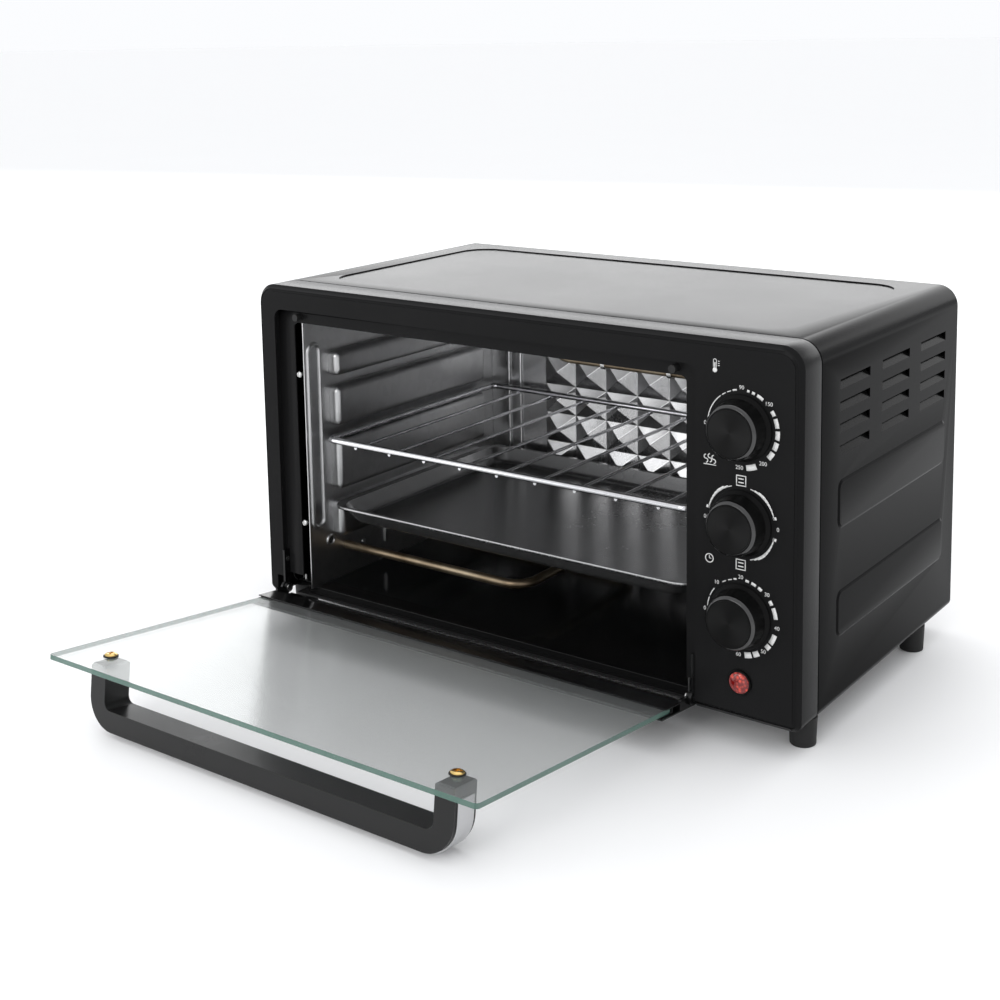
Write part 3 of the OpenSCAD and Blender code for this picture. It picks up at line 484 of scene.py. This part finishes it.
# the bevelled rim of the grip is polished
def makeKnob(node):
    low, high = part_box(node)
    mesh = mergedCopy(node)
    for face in mesh.faces:
        near = max(corner.co.y for corner in face.verts) < low.y + knobShape["rimWidth"] * mm
        face.material_index = 1 if near and -0.95 < face.normal.y < -0.3 else 0
    newPiece(camel(node), mesh, ["knob", "knobRim"], bodyOf[node], node,
             {"width": knobShape["round"] * mm, "segments": 2})


for node in ("temp_knob", "function_knob", "timer_knob"):
    makeKnob(node)
print("knobs made")

# ---- door glass ----

doorRise = math.radians(6.7)


def makeGlass():
    mesh = mergedCopy("door_glass")
    across = Matrix.Rotation(-doorRise, 3, "X") @ Vector((0, 0, 1))
    for face in mesh.faces:
        face.material_index = 0 if abs(face.normal.dot(across)) > 0.9 else 1
    newPiece("doorPane", mesh, ["glass", "edge"], "door", "door_glass",
             {"width": 0.35 * mm, "segments": 2})


makeGlass()

# ---- screws with cross recesses ----

crossRecess = {"arm": 0.31, "width": 0.085, "depth": 0.12}  # shares of the head's diameter


# a domed head with a cross pressed into it, its top facing +Z and its seat at the origin
def addScrewHead(mesh, diameter, height, turn):
    made = bmesh.ops.create_circle(mesh, cap_ends=True, segments=24, radius=diameter / 2)
    face = next(iter(made["verts"][0].link_faces))
    risen = bmesh.ops.extrude_face_region(mesh, geom=[face])["geom"]
    rim = [part for part in risen if isinstance(part, bmesh.types.BMVert)]
    bmesh.ops.translate(mesh, vec=(0, 0, height * 0.45), verts=rim)
    top = next(part for part in risen if isinstance(part, bmesh.types.BMFace))
    for share, lift in ((0.16, 0.35), (0.16, 0.20)):
        bmesh.ops.inset_region(mesh, faces=[top], thickness=diameter * share * 0.5, depth=0)
        bmesh.ops.translate(mesh, vec=(0, 0, height * lift), verts=top.verts)
    arm, half, depth = (diameter * crossRecess[key] for key in ("arm", "width", "depth"))
    for direction in ((1, 0, 0), (0, 1, 0)):
        for offset in (-arm, -half, half, arm):
            flat = [f for f in mesh.faces if min(v.co.z for v in f.verts) > height * 0.99]
            edges = list({e for f in flat for e in f.edges})
            corners = list({v for f in flat for v in f.verts})
            bmesh.ops.bisect_plane(mesh, geom=flat + edges + corners, plane_co=Vector(direction) * offset,
                                   plane_no=direction, dist=1e-7)
    cross = []
    for each in mesh.faces:
        middle = each.calc_center_median()
        short, long = sorted((abs(middle.x), abs(middle.y)))
        if middle.z > height * 0.9 and short < half and long < arm:
            cross.append(each)
    sunk = bmesh.ops.extrude_face_region(mesh, geom=cross)["geom"]
    pit = [part for part in sunk if isinstance(part, bmesh.types.BMVert)]
    bmesh.ops.translate(mesh, vec=(0, 0, -depth), verts=pit)
    bmesh.ops.delete(mesh, geom=cross, context="FACES_ONLY")
    bmesh.ops.rotate(mesh, matrix=Matrix.Rotation(turn, 3, "Z"), verts=mesh.verts)
    return mesh


# how far each set of screws is turned from pointing up, its heads' height and width, its shaft's width
screwSets = [("handle_screws", "brass", -6.7, 1.4, 8.0, 3.0), ("jamb_screws", "zinc", 90, 1.2, 4.6, 3.0),
             ("rear_screws", "zinc", -90, 1.8, 6.5, 3.4), ("foot_screws", "zinc", 180, 2.6, 7.0, 4.0)]


def addTurned(mesh, part, matrix):
    part.transform(matrix)
    shape = bpy.data.meshes.new("part")
    part.to_mesh(shape)
    part.free()
    mesh.from_mesh(shape)
    bpy.data.meshes.remove(shape)


def makeScrews(node, finish, turn, height, width, shaft):
    whole = bmesh.new()
    aim = Matrix.Rotation(math.radians(turn), 4, "X")
    out = (aim @ Vector((0, 0, 1))).normalized()
    for count, corners in enumerate(solids(node)):
        reach = [corner.dot(out) for corner in corners]
        length = max(reach) - min(reach)
        top = [corner for corner, far in zip(corners, reach) if max(reach) - far < 0.05 * mm]
        middle = sum(top, Vector()) / len(top)
        screw = addScrewHead(bmesh.new(), width * mm, height * mm, 0.5 + 1.3 * count)
        bmesh.ops.translate(screw, vec=(0, 0, -height * mm), verts=screw.verts)
        stem = Matrix.Translation((0, 0, -(length + height * mm * 0.9) / 2))
        bmesh.ops.create_cone(screw, cap_ends=True, segments=20, radius1=shaft * mm / 2,
                              radius2=shaft * mm / 2, depth=length - height * mm * 0.9, matrix=stem)
        addTurned(whole, screw, Matrix.Translation(middle) @ aim)
    newPiece(camel(node), whole, finish, bodyOf[node], node)


for values in screwSets:
    makeScrews(*values)
print("screws made")

# ---- cavity walls ----

padShape = {"rounding": 4.5, "behind": 7.0}
bead = {"reach": 5.8, "radius": 1.8, "side": 9.5, "bottom": 50, "top": 25, "turns": 12}
spareHole = {"side": 21.1, "up": 31, "ring": 3.4, "radius": 1.0}
wallScrew = {"side": 56.5, "up": 20, "width": 4.4, "height": 1.1}
wallPin = {"side": 80.5, "bottom": 13, "top": 27, "width": 2.0, "out": 1.8}


# a round bead in a closed loop, half sunk in the plane x = 0: up one side, over and down the other
def addLoopBead(mesh, length, turn):
    ring = bmesh.ops.create_circle(mesh, segments=bead["turns"], radius=bead["radius"] * mm)["verts"]
    edges = list({edge for corner in ring for edge in corner.link_edges})
    reach = bead["reach"] * mm
    bmesh.ops.translate(mesh, vec=(0, reach, -length / 2), verts=ring)
    for side in (1, -1):
        risen = bmesh.ops.extrude_edge_only(mesh, edges=edges)["geom"]
        corners = {part for part in risen if isinstance(part, bmesh.types.BMVert)}
        edges = [part for part in risen
                 if isinstance(part, bmesh.types.BMEdge) and set(part.verts) <= corners]
        bmesh.ops.translate(mesh, vec=(0, 0, side * length), verts=list(corners))
        spun = bmesh.ops.spin(mesh, geom=[*corners, *edges], cent=(0, 0, side * length / 2), axis=(1, 0, 0),
                              angle=math.pi, steps=bead["turns"])["geom_last"]
        edges = [part for part in spun if isinstance(part, bmesh.types.BMEdge)]
    bmesh.ops.remove_doubles(mesh, verts=mesh.verts, dist=0.02 * mm)
    bmesh.ops.recalc_face_normals(mesh, faces=mesh.faces)
    bmesh.ops.rotate(mesh, matrix=Matrix.Rotation(turn, 3, "Z"), verts=mesh.verts)
    return mesh


# the flanged hole: a ring round a dark disc, which is painted shade for the inside of the hole
def addSpareHole():
    mesh = bmesh.new()
    ring = bmesh.ops.create_circle(mesh, segments=10, radius=spareHole["radius"] * mm)["verts"]
    edges = list({edge for corner in ring for edge in corner.link_edges})
    bmesh.ops.translate(mesh, vec=(0, spareHole["ring"] * mm, 0), verts=ring)
    bmesh.ops.spin(mesh, geom=ring + edges, cent=(0, 0, 0), axis=(1, 0, 0), angle=math.tau, steps=28,
                   use_merge=True)
    bmesh.ops.recalc_face_normals(mesh, faces=mesh.faces)
    facing = Matrix.Translation((0.1 * mm, 0, 0)) @ Matrix.Rotation(math.pi / 2, 4, "Y")
    disc = bmesh.ops.create_circle(mesh, cap_ends=True, segments=24, radius=spareHole["ring"] * mm,
                                   matrix=facing)
    # painted shade: the disc takes the dark rubber finish to stand for the shaded inside of the hole
    next(iter(disc["verts"][0].link_faces)).material_index = 1
    return mesh


def makeCavityWall(node, inward):
    low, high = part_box(node)
    face = high.x if inward > 0 else low.x
    corners = [v.co for v in frame["nodes"][node].data.vertices]
    onPads = [co for co in corners if abs(co.x - face) < 0.01 * mm]
    levels = sorted({round(co.z, 5) for co in onPads})
    front, rear = min(co.y for co in onPads), max(co.y for co in onPads)
    sheetX = [co.x for co in corners if abs(co.z - low.z) < 0.01 * mm]
    inner = max(sheetX) if inward > 0 else min(sheetX)
    outer = min(sheetX) if inward > 0 else max(sheetX)
    mesh = bmesh.new()
    addBlock(mesh, (min(inner, outer), low.y, low.z), (max(inner, outer), high.y, high.z))
    for bottom, top in zip(levels[::2], levels[1::2]):
        back = inner - inward * padShape["behind"] * mm
        addBlock(mesh, (min(face, back), front, bottom), (max(face, back), rear, top),
                 padShape["rounding"] * mm, 5)
    bottom, top = low.z + bead["bottom"] * mm, high.z - bead["top"] * mm
    place = Matrix.Translation((inner, low.y + bead["side"] * mm, (bottom + top) / 2))
    addTurned(mesh, addLoopBead(bmesh.new(), top - bottom, 0), place)
    if inward > 0:
        place = Matrix.Translation((inner, low.y + spareHole["side"] * mm, low.z + spareHole["up"] * mm))
        addTurned(mesh, addSpareHole(), place)
        place = Matrix.Translation((inner, low.y + wallScrew["side"] * mm, low.z + wallScrew["up"] * mm))
        head = addScrewHead(bmesh.new(), wallScrew["width"] * mm, wallScrew["height"] * mm, 0.4)
        addTurned(mesh, head, place @ Matrix.Rotation(math.pi / 2, 4, "Y"))
        side = low.y + wallPin["side"] * mm
        half = wallPin["width"] * mm / 2
        addBlock(mesh, (inner - 1 * mm, side - half, low.z + wallPin["bottom"] * mm),
                 (inner + wallPin["out"] * mm, side + half, low.z + wallPin["top"] * mm), 0.8 * mm, 3)
    # the second finish is the painted shade on the spare hole's disc, which only the left wall has
    newPiece(camel(node), mesh, ["liner", "rubber"], bodyOf[node], node)


backBead = {"side": 24, "rise": 8, "ends": 70}


def makeCavityBack():
    low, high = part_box("cavity_back")
    sheet = [v.co.y for v in frame["nodes"]["cavity_back"].data.vertices if abs(v.co.z - low.z) < 0.01 * mm]
    mesh = mergedCopy("cavity_back")
    level = (low.z + high.z) / 2 + backBead["rise"] * mm
    place = Matrix.Translation((low.x + backBead["side"] * mm, min(sheet), level))
    addTurned(mesh, addLoopBead(bmesh.new(), high.z - low.z - backBead["ends"] * mm, math.pi / 2), place)
    newPiece("cavityBack", mesh, "backSheet", "oven", "cavity_back",
             {"width": 0.35 * mm, "segments": 2, "angle": 14})


makeCavityWall("cavity_left_wall", 1)
makeCavityWall("cavity_right_wall", -1)
makeCavityBack()
print("cavity lined")

# ---- baking tray ----

trayShape = {"corner": 15, "draft": 5.5, "rim": 6.5, "lip": 1.8, "sheet": 0.8, "foot": 3.5}


def makeTray():
    low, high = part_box("baking_tray")
    rim = trayShape["rim"] * mm
    mesh = bmesh.new()
    addBlock(mesh, (low.x + rim, low.y + rim * 0.5, low.z + 0.9 * mm),
             (high.x - rim, high.y - rim * 0.5, high.z - 0.4 * mm))
    upright = [edge for edge in mesh.edges if abs(edge.verts[0].co.z - edge.verts[1].co.z) > 1 * mm]
    bmesh.ops.bevel(mesh, geom=upright, offset=trayShape["corner"] * mm, segments=8, profile=0.5,
                    affect="EDGES", material=-1)
    top = max(mesh.faces, key=lambda face: face.calc_center_median().z)
    bmesh.ops.delete(mesh, geom=[top], context="FACES_ONLY")
    floor = min(mesh.faces, key=lambda face: face.calc_center_median().z)
    centre = floor.calc_center_median()
    size = high - low
    draft = trayShape["draft"] * mm * 2
    bmesh.ops.scale(mesh, vec=(1 - draft / size.x, 1 - draft / size.y, 1), verts=floor.verts,
                    space=Matrix.Translation(-centre))
    bmesh.ops.bevel(mesh, geom=list(floor.edges), offset=trayShape["foot"] * mm, segments=4, profile=0.5,
                    affect="EDGES", material=-1)
    edges = [edge for edge in mesh.edges if edge.is_boundary]
    # the rim runs out level, then turns down at its edge
    for out, drop in ((0.25, -0.25), (0.90, 0.0), (1.0, 0.5), (1.0, trayShape["lip"])):
        risen = bmesh.ops.extrude_edge_only(mesh, edges=edges)["geom"]
        corners = [part for part in risen if isinstance(part, bmesh.types.BMVert)]
        edges = [part for part in risen if isinstance(part, bmesh.types.BMEdge)]
        width = max(co.co.x for co in corners) - min(co.co.x for co in corners)
        depth = max(co.co.y for co in corners) - min(co.co.y for co in corners)
        wantX = size.x - 2 * rim * (1 - out) - 0.1 * mm
        wantY = size.y - rim * (1 - out) - 0.1 * mm
        middle = (low + high) / 2
        bmesh.ops.scale(mesh, vec=(wantX / width, wantY / depth, 1), verts=corners,
                        space=Matrix.Translation(-middle))
        for corner in corners:
            corner.co.z = high.z - 0.15 * mm - abs(drop) * mm
        if drop > 0:
            for edge in edges:
                edge.link_faces[0].material_index = 1
    bmesh.ops.recalc_face_normals(mesh, faces=mesh.faces)
    if sum(face.normal.z * face.calc_area() for face in mesh.faces) < 0:
        bmesh.ops.reverse_faces(mesh, faces=mesh.faces)
    piece = newPiece("bakingPan", mesh, ["tray", "rim"], "tray", "baking_tray")
    wall = piece.modifiers.new("wall", "SOLIDIFY")
    wall.thickness, wall.offset = trayShape["sheet"] * mm, -1


makeTray()
print("tray made")

# ---- printing on the control panel ----

dialPrint = {"radius": 21.9, "thin": 0.6, "thick": 3.6, "label": 3.4, "ink": 0.06, "labelRadius": 23.9}
functionMark = {"rise": 25.4, "half": 3.3, "line": 0.6, "bar": 1.8, "arrow": 1.5, "barb": 1.9, "steps": 9}
# degrees clockwise from the off mark: blocks, then numbers
tempScale = {"blocks": [(5, 52), (55, 62), (65, 72), (75, 82), (99, 103), (107, 112), (116, 127), (147, 155),
                        (159, 173), (177, 190), (194, 206), (210, 222), (246, 262)],
             "numbers": [(0, "0"), (90, "90"), (137, "150"), (234, "200"), (273, "250")]}
timeScale = {"blocks": [(5, 20), (23, 38), (57, 64), (68, 75), (78, 83), (98, 104), (108, 116), (120, 127),
                        (145, 152), (156, 173), (197, 213), (216, 224), (239, 249), (252, 263)],
             "numbers": [(0, "0"), (48, "10"), (90, "20"), (136, "30"), (186, "40"), (231, "50"),
                         (273, "60")]}


def onPanel(centre, x, z):
    return Vector((centre.x + x * mm, centre.y, centre.z + z * mm))


# part of a ring in the plane of the panel, from start to end in degrees clockwise from the left
def addSector(mesh, centre, inner, outer, start, end):
    turn = math.radians(180 - start)
    along = Vector((math.cos(turn), 0, math.sin(turn))) * mm
    ends = [mesh.verts.new(centre + along * radius) for radius in (inner, outer)]
    edge = mesh.edges.new(ends)
    steps = max(2, round(abs(end - start) / 6))
    bmesh.ops.spin(mesh, geom=[*ends, edge], cent=centre, axis=(0, 1, 0), angle=math.radians(end - start),
                   steps=steps, use_merge=abs(end - start) >= 360)


def addBar(mesh, centre, x0, z0, x1, z1):
    corners = [mesh.verts.new(onPanel(centre, x, z)) for x, z in ((x0, z0), (x1, z0), (x1, z1), (x0, z1))]
    mesh.faces.new(corners)


def addLabel(mesh, centre, x, z, words, size):
    curve = bpy.data.curves.new("label", "FONT")
    curve.body, curve.size = words, size * mm
    curve.align_x = curve.align_y = "CENTER"
    item = bpy.data.objects.new("label", curve)
    bpy.context.scene.collection.objects.link(item)
    bpy.context.view_layer.update()
    shape = bpy.data.meshes.new_from_object(item.evaluated_get(bpy.context.evaluated_depsgraph_get()))
    shape.transform(Matrix.Translation(onPanel(centre, x, z)) @ Matrix.Rotation(math.pi / 2, 4, "X"))
    mesh.from_mesh(shape)
    bpy.data.meshes.remove(shape)
    bpy.data.objects.remove(item)


def addScale(mesh, centre, scale):
    inner = dialPrint["radius"]
    for start, end in scale["blocks"]:
        grown = dialPrint["thin"] + (dialPrint["thick"] - dialPrint["thin"]) * max(0, (end - 75) / 195) ** 0.6
        addSector(mesh, centre, inner, inner + grown, start, end)
    for place, number in scale["numbers"]:
        turn = math.radians(180 - place)
        reach = dialPrint["labelRadius"]
        addLabel(mesh, centre, reach * math.cos(turn), reach * math.sin(turn), number, dialPrint["label"])


def addOutline(mesh, centre, x, z, half, line):
    for low, high in (((-half, -half), (half, line - half)), ((-half, half - line), (half, half))):
        addBar(mesh, centre, x + low[0], z + low[1], x + high[0], z + high[1])
    for side in (-1, 1):
        edges = sorted((side * half, side * (half - line)))
        addBar(mesh, centre, x + edges[0], z - half + line, x + edges[1], z + half - line)


def addFunctionRing(mesh, centre):
    inner, bar, steps = dialPrint["radius"], functionMark["bar"], functionMark["steps"]
    # each arrow is thickest near its box and ends in a barb at the off mark
    for boxEnd, offEnd in ((74, 14), (106, 166), (254, 194), (286, 346)):
        for step in range(steps):
            start, end = (boxEnd + (offEnd - boxEnd) * share / steps for share in (step, step + 1))
            share = (step + 0.5) / steps
            swell = min(share / 0.3, (1 - share) / 0.7 + 0.1)
            addSector(mesh, centre, inner, inner + 0.3 + functionMark["arrow"] * swell, *sorted((start, end)))
        barb = sorted((offEnd, offEnd + (boxEnd - offEnd) / 14))
        addSector(mesh, centre, inner - 0.3, inner + functionMark["barb"], *barb)
    for z in (functionMark["rise"], -functionMark["rise"]):
        addOutline(mesh, centre, 0, z, functionMark["half"], functionMark["line"])
        for line in (-1.1, 1.1):
            addBar(mesh, centre, -bar, z + line - 0.35, bar, z + line + 0.35)
    for side in (-1, 1):
        addLabel(mesh, centre, side * dialPrint["labelRadius"], 0, "0", dialPrint["label"])


def addThermometer(mesh, spot):
    addSector(mesh, spot, 0, 1.5, 0, 359)
    addBar(mesh, spot, -0.35, 0.8, 0.35, 4.6)
    for side in (-1, 1):
        addBar(mesh, spot, side * 1.0 - 0.18, 1.4, side * 1.0 + 0.18, 5.6)
    addSector(mesh, onPanel(spot, 0, 5.5), 0.85, 1.2, 0, 180)
    for step in range(3):
        addBar(mesh, spot, 1.9, 2.6 + step * 1.3, 3.1, 2.95 + step * 1.3)


def addHeatWaves(mesh, spot):
    for x in (-2.6, 0, 2.6):
        for z, start in ((0, 90), (2.4, 270)):
            addSector(mesh, onPanel(spot, x, z + (0.6 if x == 0 else 0)), 0.95, 1.5, start, start + 180)
    addBar(mesh, spot, -4.2, -2.4, 4.2, -1.9)


def addClock(mesh, spot):
    addSector(mesh, spot, 2.3, 2.85, 0, 359)
    addBar(mesh, spot, -0.22, -0.1, 0.22, 1.7)
    addBar(mesh, spot, -0.1, -0.22, 1.3, 0.22)


# each knob's scale and the place of its mark from the knob's middle
panelSets = [("temp_knob", tempScale, addThermometer, -17.5, 32.3),
             ("function_knob", None, addHeatWaves, -20.7, 34.2),
             ("timer_knob", timeScale, addClock, -20.9, 31.7)]


def makePanelPrint():
    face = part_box("front_frame")[0].y - 0.01 * mm
    mesh = bmesh.new()
    for node, scale, icon, side, rise in panelSets:
        low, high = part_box(node)
        centre = Vector(((low.x + high.x) / 2, face, (low.z + high.z) / 2))
        if scale:
            addScale(mesh, centre, scale)
        else:
            addFunctionRing(mesh, centre)
        icon(mesh, onPanel(centre, side, rise))
    bmesh.ops.triangulate(mesh, faces=mesh.faces)
    for each in mesh.faces:
        each.normal_update()
        if each.normal.y > 0:
            each.normal_flip()
    piece = newPiece("panelPrint", mesh, "print", "oven")
    ink = piece.modifiers.new("ink", "SOLIDIFY")
    ink.thickness, ink.offset = dialPrint["ink"] * mm, 1


makePanelPrint()
print("panel printed")

# ---- finishes of the nodes that keep their own mesh ----

keptNodes = {"base_plate": "sheetPaint", "door_bumpers": "rubber", "cavity_ceiling": "liner",
             "cavity_floor": "floorEnamel", "upper_heater": "tube", "lower_heater": "tube",
             "heater_insulators": "ceramic", "heater_clips": "zinc", "heat_shield": "shield",
             "thermostat": "ceramic", "function_switch": "switch", "timer": "shield",
             "terminal_block": "ceramic", "lamp_lens": "lens", "hinge_bracket_left": "railPaint",
             "hinge_bracket_right": "railPaint", "bracket_screws": "zinc", "glass_seal": "rubber",
             "hinge_pins": "zinc", "wire_rack": "chrome", "temp_shaft": "zinc", "function_shaft": "zinc",
             "timer_shaft": "zinc"}
for node, finish in keptNodes.items():
    piece = frame["nodes"][node]
    piece.data.materials.clear()
    piece.data.materials.append(finishes[finish])
for node in ("temp_knob_cap", "function_knob_cap", "timer_knob_cap"):
    low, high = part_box(node)
    piece = frame["nodes"][node]
    piece.data.materials.clear()
    piece.data.materials.append(turnedCap(camel(node), (low + high) / 2))
print("kept nodes finished:", len(keptNodes) + 3)


def makeFloor():
    mesh = bmesh.new()
    bmesh.ops.create_circle(mesh, cap_ends=True, segments=64, radius=studio["floorSize"])
    shape = bpy.data.meshes.new("studioFloor")
    mesh.to_mesh(shape)
    mesh.free()
    floor = bpy.data.objects.new("studioFloor", shape)
    bpy.context.scene.collection.objects.link(floor)
    shape.materials.append(paleFloor())


def makeWorld():
    world = bpy.data.worlds.new("studioWorld")
    world.use_nodes = True
    back = world.node_tree.nodes["Background"]
    back.inputs[0].default_value = (0.97, 0.98, 1.0, 1)
    back.inputs[1].default_value = studio["world"]
    bpy.context.scene.world = world
    bpy.context.scene.view_settings.view_transform = "Standard"


makeFloor()
makeWorld()
